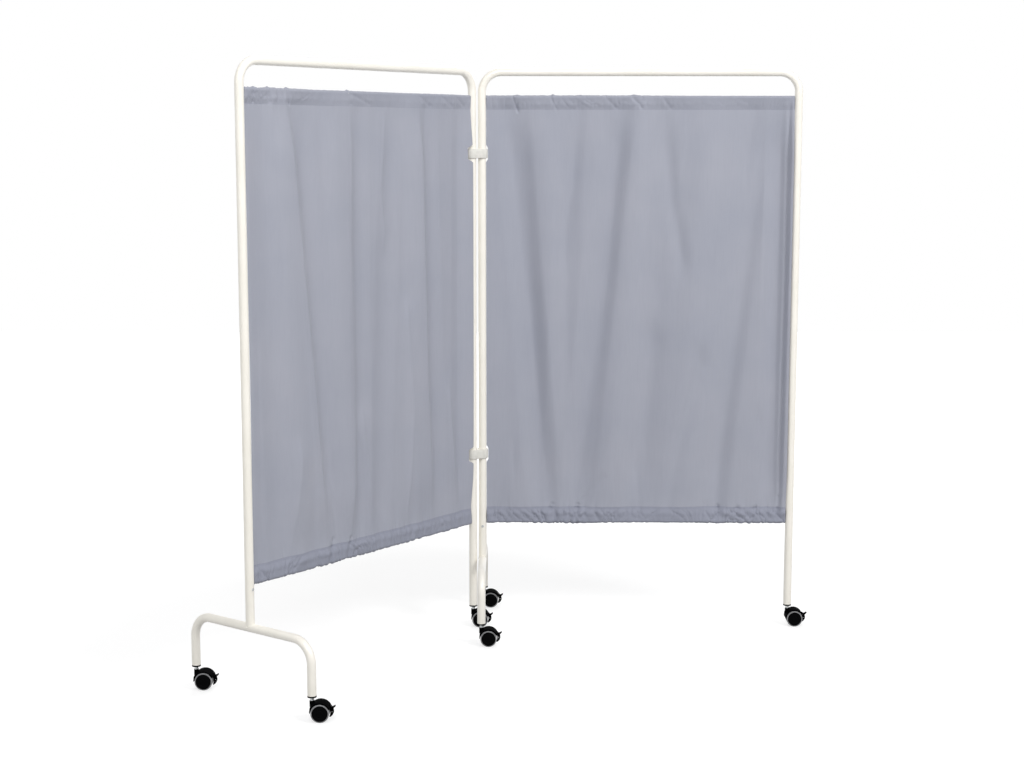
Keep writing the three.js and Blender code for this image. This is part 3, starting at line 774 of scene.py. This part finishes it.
def add_casters():
    shapes = {
        "socket": (socket_mesh(), BLACK, "black_plastic"),
        "stem": (stem_mesh(), ZINC, "zinc_plated_steel"),
        "housing": (housing_mesh(), BLACK, "black_plastic"),
        "brake_lever": (lever_mesh(), BLACK, "black_plastic"),
    }
    tyres = {"front": tyre_mesh(-1), "rear": tyre_mesh(1)}
    discs = {"front": disc_mesh(-1), "rear": disc_mesh(1)}
    for name in [joint[: -len("_swivel")] for joint in JOINTS if joint.endswith("_swivel")]:
        place = Matrix.Translation(joint_place(name + "_swivel"))
        wing = name.split("_")[1] + "_wing"
        bodies = {"socket": wing, "stem": wing, "housing": name, "brake_lever": name + "_brake"}
        for part, (mesh, material, slot) in shapes.items():
            node = f"{name}_{part}"
            add_piece(node + "_shape", mesh, material, bodies[part], place, [node])
        keep_node(name + "_axle", ZINC)
        for way, tyre in tyres.items():
            node = f"{name}_{way}_wheel"
            add_piece(node + "_disc", discs[way], DISC, node, place, [node])
            add_piece(node + "_tyre", tyre, TYRE, node, place)


# Cloths. Folds repeat the part's own: shares of the width from the inner upright under the top hem and
# over the bottom hem, half width and depth. A fold bows away from the viewer, or towards where negative.
FOLDS = {
    "right": [
        (0.08, 0.195, 0.062, 0.014), (0.18, 0.24, 0.06, -0.008), (0.28, 0.23, 0.05, 0.006),
        (0.43, 0.29, 0.062, 0.012), (0.5, 0.4, 0.06, -0.008), (0.58, 0.51, 0.07, 0.008),
        (0.73, 0.63, 0.07, -0.007), (0.87, 0.74, 0.066, 0.009), (0.955, 0.94, 0.045, 0.014),
        (1, 1, 0.04, -0.015), (0, 0, 0.07, -0.006),
    ],
    "left": [
        (0.045, 0.055, 0.05, 0.007), (0.219, 0.17, 0.055, 0.01), (0.285, 0.275, 0.06, -0.008),
        (0.383, 0.455, 0.055, 0.008), (0.539, 0.539, 0.055, 0.011), (0.645, 0.605, 0.06, -0.009),
        (0.785, 0.655, 0.062, 0.013), (0.875, 0.795, 0.06, -0.009), (0.925, 0.885, 0.055, 0.007),
        (1, 1, 0.04, -0.006), (0, 0, 0.06, -0.014),
    ],
}
# Long soft creases of the cloth's body: half widths on the outer and the inner side, depth away from the
# viewer, and places from the inner upright with their levels. Those of the left wing have a negative depth:
# they are ridges towards the viewer. A crease fades out past an end that isn't at a hem.
FOLD_LINES = {
    "right": [
        (0.03, 0.016, 0.003, [(0.093, 1.622), (0.119, 1.357), (0.162, 1.024), (0.199, 0.655),
            (0.225, 0.391)]),
        (0.02, 0.018, 0.004, [(0.309, 1.617), (0.29, 1.387), (0.265, 1.22)]),
        (0.024, 0.03, 0.0034, [(0.453, 1.617), (0.424, 1.388), (0.406, 1.16), (0.366, 0.867), (0.331, 0.601),
            (0.296, 0.397)]),
        (0.022, 0.026, 0.0064, [(0.575, 1.617), (0.6, 1.357), (0.632, 1.18)]),
        (0.036, 0.03, 0.0066, [(0.545, 0.9), (0.492, 0.397)]),
        (0.026, 0.024, 0.0086, [(0.697, 0.836), (0.637, 0.602), (0.598, 0.397)]),
        (0.03, 0.034, 0.01, [(0.91, 1.613), (0.864, 1.357), (0.828, 1.077), (0.787, 0.762), (0.746, 0.397)]),
        (0.014, 0.014, 0.0024, [(0.848, 1.613), (0.831, 1.46)]),
        (0.014, 0.018, 0.0056, [(0.885, 0.64), (0.868, 0.398)]),
        (0.012, 0.012, 0.0024, [(0.108, 0.54), (0.115, 0.397)]),
        (0.01, 0.012, 0.0018, [(0.496, 0.516), (0.508, 0.386)]),
        (0.01, 0.01, 0.0018, [(0.428, 0.462), (0.444, 0.386)]),
        (0.01, 0.01, 0.002, [(0.253, 0.494), (0.259, 0.386)]),
        (0.005, 0.007, 0.009, [(0.958, 1.64), (0.957, 1.119), (0.954, 0.655), (0.952, 0.38)]),
    ],
    "left": [
        (0.06, 0.042, -0.019, [(0.801, 1.619), (0.781, 1.404), (0.754, 1.156), (0.721, 0.873), (0.693, 0.583),
            (0.667, 0.385)]),
        (0.05, 0.038, -0.015, [(0.552, 1.623), (0.562, 1.239), (0.552, 0.855), (0.572, 0.397)]),
        (0.03, 0.03, -0.007, [(0.401, 1.616), (0.426, 1.396), (0.41, 1.29)]),
        (0.06, 0.036, -0.017, [(0.258, 1.623), (0.25, 1.244), (0.234, 0.82), (0.208, 0.403)]),
        (0.034, 0.026, -0.0105, [(0.51, 0.7), (0.49, 0.552), (0.482, 0.4)]),
        (0.026, 0.022, -0.008, [(0.32, 1), (0.301, 0.726), (0.32, 0.423)]),
        (0.024, 0.018, -0.008, [(0.12, 0.74), (0.082, 0.413)]),
        (0.028, 0.03, -0.01, [(0.785, 0.64), (0.818, 0.385)]),
        (0.02, 0.018, -0.0065, [(0.653, 0.5), (0.643, 0.38)]),
    ],
}
LINE_FADE = 0.1
LINE_SHIFT = {"right": -0.01, "left": 0.0}
LINE_POWER = {"right": 2, "left": 1.2}
# Levels past which a long crease runs into a hem, and what share of its depth is left there.
LINE_ENDS = (1.6, 0.42)
LINE_EASE = 0.16
LINE_HELD = 0.35
# Short creases: place from the inner upright and level of both ends, half width, depth away from the viewer.
CREASES = {
    "right": [
        (0.095, 1.671, 0.11, 1.628, 0.004, 0.003), (0.21, 1.673, 0.228, 1.638, 0.004, 0.0022),
        (0.318, 1.673, 0.296, 1.64, 0.004, 0.002), (0.38, 1.672, 0.412, 1.64, 0.005, 0.002),
        (0.462, 1.673, 0.492, 1.64, 0.005, 0.0024), (0.556, 1.672, 0.58, 1.64, 0.005, 0.0018),
        (0.19, 0.345, 0.222, 0.395, 0.005, 0.0034), (0.277, 0.342, 0.304, 0.392, 0.005, 0.0034),
        (0.304, 0.392, 0.385, 0.48, 0.009, 0.002), (0.742, 0.345, 0.748, 0.388, 0.005, 0.0032),
        (0.77, 0.35, 0.812, 0.386, 0.006, 0.0026), (0.83, 0.35, 0.868, 0.386, 0.006, 0.0026),
        (0.932, 0.35, 0.94, 0.42, 0.006, 0.0028),
    ],
    "left": [
        (0.802, 1.673, 0.795, 1.632, 0.005, 0.0036), (0.88, 1.673, 0.868, 1.64, 0.005, 0.0028),
        (0.93, 1.673, 0.925, 1.64, 0.004, 0.0028), (0.561, 1.675, 0.548, 1.64, 0.005, 0.003),
        (0.552, 1.668, 0.47, 1.642, 0.005, 0.0018), (0.255, 1.668, 0.2, 1.64, 0.005, 0.0018),
        (0.15, 1.668, 0.1, 1.642, 0.005, 0.0018), (0.08, 1.668, 0.04, 1.642, 0.005, 0.0018),
        (0.665, 0.345, 0.64, 0.4, 0.008, 0.0034), (0.586, 0.342, 0.575, 0.395, 0.006, 0.0042),
    ],
}
# How strongly the hems are gathered, from the inner upright outwards: places and shares of the full ripple.
HEM_RIPPLES = {
    "right": {
        "top": ([0, 0.1, 0.3, 0.48, 0.6, 0.72, 0.95], [0.35, 0.4, 0.4, 0.45, 0.2, 0.12, 0.15]),
        "bottom": ([0, 0.12, 0.2, 0.32, 0.45, 0.62, 0.74, 0.9, 0.95],
                   [1.0, 0.7, 1.3, 1.3, 0.6, 0.6, 1.2, 1.2, 1.0]),
    },
    "left": {
        "top": ([0, 0.1, 0.25, 0.32, 0.54, 0.58, 0.7, 0.8, 0.95],
                [0.3, 0.35, 0.3, 0.15, 0.3, 0.2, 0.2, 0.55, 0.7]),
        "bottom": ([0, 0.15, 0.3, 0.5, 0.68, 0.8, 0.95], [0.8, 0.9, 1.1, 1.2, 1.3, 1.0, 1.2]),
    },
}
# Tufts that stand up from the top hem: place, half width and height.
TUFTS = {
    "right": [(0.108, 0.007, 0.002), (0.218, 0.005, 0.003), (0.302, 0.008, 0.0018), (0.468, 0.01, 0.0024)],
    "left": [(0.561, 0.005, 0.0036), (0.802, 0.005, 0.003), (0.873, 0.006, 0.0026), (0.925, 0.006, 0.002)],
}
CLOTH_SEEDS = {"right": 11, "left": 29}
BOTTOM_SEED_STEP = 20
BACK_SEED_STEP = 40
KNOTS = 512
FIRST_KNOT = 64
# Gathers of the hems: depth, wavelengths, slant, and how they grow from the stitch line to the rod.
RIPPLE_DEPTH = 0.0062
RIPPLE_LENGTH = 0.015
NARROW_LENGTH = RIPPLE_LENGTH * 0.45
SLANT = 0.055
SLANT_LENGTH = 0.09
RIPPLE_TOP = 1.2
HEM_EASE = 0.5
HEM_SWELL = 0.0002
CREST_RANGE = (0.12, 0.82)
SIDE_EASE = 0.004
SIDE_HELD = 0.3
# Puckers of the body beside a hem: depth, reach from the hem, and wavelength.
FINE_PUCKERS = (-0.0016, 0.018)
MIDDLE_PUCKERS = (0.0030, 0.080, 0.027)
BROAD_PUCKERS = (0.0030, 0.22, 0.060)
PUCKER_BEND = 0.25
PUCKER_BEND_LENGTH = 0.11
# Sway of the body: depth, and wavelengths across and down.
LARGE_SWAY = (0.0014, 0.19, 0.45)
SMALL_SWAY = (0.0005, 0.045, 0.13)
# Room for the clamps: the edge's distance from the inner upright, and how far the change reaches.
CLAMP_ROOM = {"right": 0.0182, "left": 0.0302}
CLAMP_ROOM_HALF = 0.0160
CLAMP_ROOM_EASE = 0.012
CLAMP_ROOM_REACH = 0.06
# Added rows of points near the clamps and the stitch lines.
CLAMP_ROWS = np.arange(-0.030, 0.0301, 0.0025)
STITCH_ROWS = np.arange(0.002, 0.040, 0.003)


def noise(places, wavelength, seed):
    """Smooth random values from -1 to 1 along a line, with bumps about a wavelength long."""
    knots = np.random.default_rng(seed).uniform(-1, 1, KNOTS)
    turns = places / wavelength + FIRST_KNOT
    first = np.floor(turns).astype(int)
    share = turns - first
    a, b, c, d = (knots[(first + k) % KNOTS] for k in range(-1, 3))
    return b + 0.5 * share * (c - a + share * (2 * a - 5 * b + 4 * c - d + share * (3 * (b - c) + d - a)))


def smooth_step(share):
    share = np.clip(share, 0, 1)
    return share * share * (3 - 2 * share)


def bows(folds, along, level):
    """How far the part's main folds move the cloth away from the viewer."""
    width = SPACING - 2 * CLOTH_INSET
    top, bottom = CAD_BODY_LEVELS
    share = np.clip((along - CLOTH_INSET) / width, 0, 1)
    drop = (top - level) / (top - bottom)
    fade = HELD_AT_STITCH + (1 - HELD_AT_STITCH) * smooth_step(min(drop, 1 - drop) / FADE_SHARE)
    depth = np.zeros_like(along)
    for top_share, bottom_share, reach, fold_depth in folds:
        away = (share - (top_share + (bottom_share - top_share) * drop)) * width / reach
        depth += fade * fold_depth * np.where(np.abs(away) < 1, (1 - away * away) ** 2, 0)
    return depth


def lining(side, along, level):
    """How far the long creases move the cloth away from the viewer at one level."""
    depth = np.zeros_like(along)
    for outer_half, inner_half, line_depth, places in FOLD_LINES[side]:
        places = np.array(places)[::-1]
        top, bottom = places[-1, 1], places[0, 1]
        held = 1.0
        if top < LINE_ENDS[0]:
            held *= smooth_step(1 - (level - top) / LINE_FADE)
        if bottom > LINE_ENDS[1]:
            held *= smooth_step(1 - (bottom - level) / LINE_FADE)
        away = along - np.interp(level, places[:, 1], places[:, 0]) - LINE_SHIFT[side]
        half = np.where(away > 0, outer_half, inner_half)
        depth += held * line_depth * np.exp(-(np.abs(away / half) ** LINE_POWER[side]))
    return depth


def creasing(creases, along, level):
    depth = np.zeros_like(along)
    for x0, z0, x1, z1, half_width, crease_depth in creases:
        run = np.array([x1 - x0, z1 - z0])
        share = ((along - x0) * run[0] + (level - z0) * run[1]) / (run @ run)
        held = np.clip(share, 0, 1)
        off = np.hypot(along - x0 - held * run[0], level - z0 - held * run[1])
        depth += crease_depth * np.exp(-((off / half_width) ** 2))
    return depth


def ripple(along, share, seed):
    """Gathers of a hem, from 0 up: rounded ridges between narrow creases, some of them slanted."""
    slant = SLANT * share * noise(along, SLANT_LENGTH, seed + 1)
    wide = noise(along + slant, RIPPLE_LENGTH, seed + 2)
    narrow = noise(along - 0.7 * slant, NARROW_LENGTH, seed + 3)
    return np.clip(1.25 * np.sqrt(np.abs(0.8 * wide + 0.3 * narrow)), 0, RIPPLE_TOP)


def puckers(along, distance, amount, seed):
    """Small folds of the body that start at a hem and die out with distance from it."""
    place = along + PUCKER_BEND * distance * noise(along, PUCKER_BEND_LENGTH, seed + 5)
    depth, reach = FINE_PUCKERS
    fine = depth * amount * math.exp(-distance / reach) * ripple(place, 0.5, seed)
    depth, reach, wavelength = MIDDLE_PUCKERS
    middle = depth * amount * math.exp(-distance / reach) * noise(place, wavelength, seed + 6)
    depth, reach, wavelength = BROAD_PUCKERS
    broad = depth * math.exp(-distance / reach) * noise(place, wavelength, seed + 7)
    return fine + middle + broad


def cloth_rows():
    """The cloth's section from back flap to back flap: the place across the wing, the level, and for a hem's
    rows the way that its gathers push it out."""
    lean = math.degrees(math.asin(TUNNEL_RADIUS / (ROD_LEVELS[0] - STITCH_LEVELS[0])))
    hems = []
    for rod, stitch, way in zip(ROD_LEVELS, STITCH_LEVELS, (1, -1)):
        back, front = Vector((LAYER_GAP, stitch)), Vector((0, stitch))
        round_rod = arc(0, 0, TUNNEL_RADIUS, -lean, 180 + lean, TUNNEL_ROWS)
        turn = [Vector((p.x, rod + way * p.y)) for p in round_rod]
        flap = [Vector((LAYER_GAP, stitch - way * FLAP * share)) for share in (1, 0.5)]
        rising = [back.lerp(turn[0], k / HEM_ROWS) for k in range(HEM_ROWS)]
        falling = [turn[-1].lerp(front, k / HEM_ROWS) for k in range(1, HEM_ROWS)]
        outs = [(1, 0)] * (len(flap) + len(rising))
        outs += [(p.x / TUNNEL_RADIUS, (p.y - rod) / TUNNEL_RADIUS) for p in turn]
        outs += [(-1, 0)] * len(falling)
        section = [(p.x, p.y, out) for p, out in zip(flap + rising + turn + falling, outs)]
        hems.append(section if way > 0 else section[::-1])
    levels = np.linspace(STITCH_LEVELS[0], STITCH_LEVELS[1], BODY_ROWS)
    near_clamps = [level + CLAMP_ROWS for level in CLAMP_LEVELS.values()]
    near_hems = [STITCH_LEVELS[0] - STITCH_ROWS, STITCH_LEVELS[1] + STITCH_ROWS]
    levels = np.unique(np.concatenate([levels, *near_clamps, *near_hems]).round(4))[::-1]
    return hems[0] + [(0.0, float(level), None) for level in levels] + hems[1]


def columns_at(side, level):
    """Places of the columns at a level. Beside a clamp the edge draws back, so that the clamp can swing."""
    share = np.linspace(0, 1, CLOTH_COLUMNS)
    share -= COLUMN_CROWDING * np.sin(2 * math.pi * share) / (2 * math.pi)
    along = CLOTH_INSET + (SPACING - 2 * CLOTH_INSET) * share
    off = min(abs(level - clamp) for clamp in CLAMP_LEVELS.values())
    drawn = 1 - smooth_step((off - CLAMP_ROOM_HALF) / CLAMP_ROOM_EASE)
    room = drawn * (CLAMP_ROOM[side] - CLOTH_INSET)
    return along + room * np.clip(1 - (along - CLOTH_INSET) / CLAMP_ROOM_REACH, 0, 1) ** 2


def body_depth(side, along, level):
    """How far the cloth's body lies behind the plane of its wing."""
    seed = CLOTH_SEEDS[side]
    depth = bows(FOLDS[side], along, level)
    fade = smooth_step(min(STITCH_LEVELS[0] - level, level - STITCH_LEVELS[1]) / LINE_EASE)
    depth += (LINE_HELD + (1 - LINE_HELD) * fade) * lining(side, along, level)
    depth += creasing(CREASES[side], along, level)
    for i, (edge, stitch) in enumerate(zip(("top", "bottom"), STITCH_LEVELS)):
        amount = np.interp(along, *HEM_RIPPLES[side][edge])
        depth += puckers(along, abs(level - stitch), amount, seed + BOTTOM_SEED_STEP * i)
    large, across, down = LARGE_SWAY
    sway = noise(along + 0.15 * level, across, seed + 3) * noise(level + along, down, seed + 4)
    small, across, down = SMALL_SWAY
    flutter = noise(along + 0.05 * level, across, seed + 8) * noise(level + 0.4 * along, down, seed + 9)
    return depth + large * sway + small * flutter


def hem_row(side, along, y, level, out):
    """A row of a hem: the gathers push it out from its section."""
    top = level > 1
    edge, i = ("top", 0) if top else ("bottom", 1)
    rod, stitch = ROD_LEVELS[i], STITCH_LEVELS[i]
    front = out[0] <= 0
    share = max(0.0, min(1.0, (level - stitch) / (rod - stitch)))
    amount = np.interp(along, *HEM_RIPPLES[side][edge])
    seed = CLOTH_SEEDS[side] + BOTTOM_SEED_STEP * i + (0 if front else BACK_SEED_STEP)
    crest = math.sin(math.pi * min(CREST_RANGE[1], CREST_RANGE[0] + share))
    full = RIPPLE_DEPTH * amount * (0.25 + 0.75 * crest)
    push = float(smooth_step(share / HEM_EASE)) * (HEM_SWELL + full * ripple(along, share, seed))
    shift = body_depth(side, along, stitch) * (1 - share)
    crease = creasing(CREASES[side], along, level) if front else 0
    z = np.full_like(along, level) + out[1] * push
    if top and out[1] > 0:
        for place, half, height in TUFTS[side]:
            z += out[1] * height * np.exp(-(((along - place) / half) ** 2))
    keep = (SPACING / 2 - np.abs(along - SPACING / 2) - CLOTH_INSET) / SIDE_EASE
    held = SIDE_HELD + (1 - SIDE_HELD) * np.clip(keep, 0, 1)
    return y + shift + (out[0] * push + crease) * held, z


def cloth_mesh(side):
    layers = []
    for y, level, out in cloth_rows():
        along = columns_at(side, level)
        if out is None:
            layers.append((along, y + body_depth(side, along, level), np.full_like(along, level)))
        else:
            layers.append((along, *hem_row(side, along, y, level, out)))
    points = np.array([np.stack(layer, axis=1) for layer in layers])
    rows = len(layers)
    points = points.reshape(-1, 3)
    points[:, 0] *= OUTWARD[side]
    index = np.arange(rows * CLOTH_COLUMNS).reshape(rows, CLOTH_COLUMNS)
    quads = np.stack([index[:-1, :-1], index[1:, :-1], index[1:, 1:], index[:-1, 1:]], axis=-1).reshape(-1, 4)
    if OUTWARD[side] < 0:
        quads = quads[:, ::-1]
    mesh = bpy.data.meshes.new(side + "_cloth")
    mesh.from_pydata(points.tolist(), [], quads.tolist())
    mesh.shade_smooth()
    return mesh


def add_cloth(side):
    body = side + "_wing"
    piece = add_piece(side + "_cloth", cloth_mesh(side), CLOTH, body, WINGS[side],
                      [side + "_curtain"])
    thickness = piece.modifiers.new("thickness", "SOLIDIFY")
    thickness.thickness = CLOTH_THICKNESS
    thickness.offset = 0


# Floor, light and camera.
FLOOR_REACH = 9
FLOOR_DROP = 0.0003
# The floor's glow where it is seen, near the screen and far away, and the distances between which it rises.
FLOOR_GLOW = (0.66, 1.0)
FLOOR_FADE = (1.3, 3.4)
# Strength of the white surroundings as light, and where they are seen.
WORLD_LEVELS = (0.43, 1.0)
# Place, aim, size and power of each lamp.
LAMPS = {
    "right": ((4.2, -3.5, 4.4), (0, 0, 1.1), 1.6, 190),
    "front": ((-0.5, -4.1, 4.0), (0, 0, 1.1), 1.6, 93),
    "fill": ((-4.0, -4.0, 2.6), (0, 0, 1.0), 3.0, 26),
    "back": ((0.4, 4.8, 4.6), (0, 0, 0.9), 2.4, 110),
}
CAMERA_PLACE = Vector((0.107017, -5.351115, 1.529204))
CAMERA_PITCH = 0.13911564
CAMERA_YAW = -0.00264107
CAMERA_ROLL = 0.0006498
CAMERA_LENS = 60.31
CAMERA_SENSOR = 36


def add_floor():
    """A pale floor that keeps the screen's soft shadow and fades into the white background away from it."""
    mesh = bpy.data.meshes.new("floor")
    corners = [(x * FLOOR_REACH, y * FLOOR_REACH, 0) for x, y in ((-1, -1), (1, -1), (1, 1), (-1, 1))]
    mesh.from_pydata(corners, [], [(0, 1, 2, 3)])
    material, tree, shader = new_material("floor")
    place = object_coordinates(tree)
    grain = noise_node(tree, place, scale=30, detail=3)
    tone = mix_colour(tree, grain, *map(linear, FLOOR_TONES))
    feed(tree, shader, {"Base Color": tone, "Roughness": 0.9, "Specular IOR Level": 0.1})
    far = add_node(tree, "VectorMath", {0: place}, "Value", operation="LENGTH")
    none = add_node(tree, "Emission", {"Strength": 0})
    glow = add_node(tree, "Emission", {"Strength": range_node(tree, far, *FLOOR_GLOW, *FLOOR_FADE)})
    pick = add_node(tree, "MixShader", {0: seen_rays(tree), 1: none, 2: glow})
    both = add_node(tree, "AddShader", {0: shader.outputs[0], 1: pick})
    feed(tree, tree.nodes["Material Output"], {"Surface": both})
    mesh.materials.append(material)
    floor = new_object("floor", mesh)
    floor.location.z = -FLOOR_DROP


def add_world():
    world = bpy.data.worlds.new("studio")
    bpy.context.scene.world = world
    world.use_nodes = True
    tree = world.node_tree
    strength = range_node(tree, seen_rays(tree), *WORLD_LEVELS)
    feed(tree, tree.nodes["Background"], {"Color": (1, 1, 1, 1), "Strength": strength})


def add_lamp(name, place, aim, size, power):
    data = bpy.data.lights.new(name, "AREA")
    data.shape = "SQUARE"
    data.size = size
    data.energy = power
    lamp = new_object(name, data)
    lamp.location = place
    lamp.rotation_mode = "QUATERNION"
    lamp.rotation_quaternion = (Vector(aim) - Vector(place)).to_track_quat("-Z", "Y")


def add_camera():
    """The photograph's camera, which looks slightly down."""
    level = math.cos(CAMERA_PITCH)
    forward = Vector((math.sin(CAMERA_YAW) * level, math.cos(CAMERA_YAW) * level, -math.sin(CAMERA_PITCH)))
    right = Vector((math.cos(CAMERA_YAW), -math.sin(CAMERA_YAW), 0))
    up = right.cross(forward)
    lean, tilt = math.cos(CAMERA_ROLL), math.sin(CAMERA_ROLL)
    right, up = lean * right + tilt * up, -tilt * right + lean * up
    data = bpy.data.cameras.new("camera")
    data.sensor_width = CAMERA_SENSOR
    data.lens = CAMERA_LENS
    camera = new_object("camera", data)
    turn = Matrix((right, up, -forward)).transposed().to_4x4()
    camera.matrix_world = Matrix.Translation(RIGHT_AXIS + CAMERA_PLACE) @ turn
    bpy.context.scene.camera = camera


for side in ("right", "left"):
    add_frame(side)
    add_cloth(side)
add_clamps()
add_casters()
add_floor()
add_world()
for name, values in LAMPS.items():
    add_lamp(name, *values)
add_camera()
bpy.context.scene.view_settings.view_transform = "Standard"
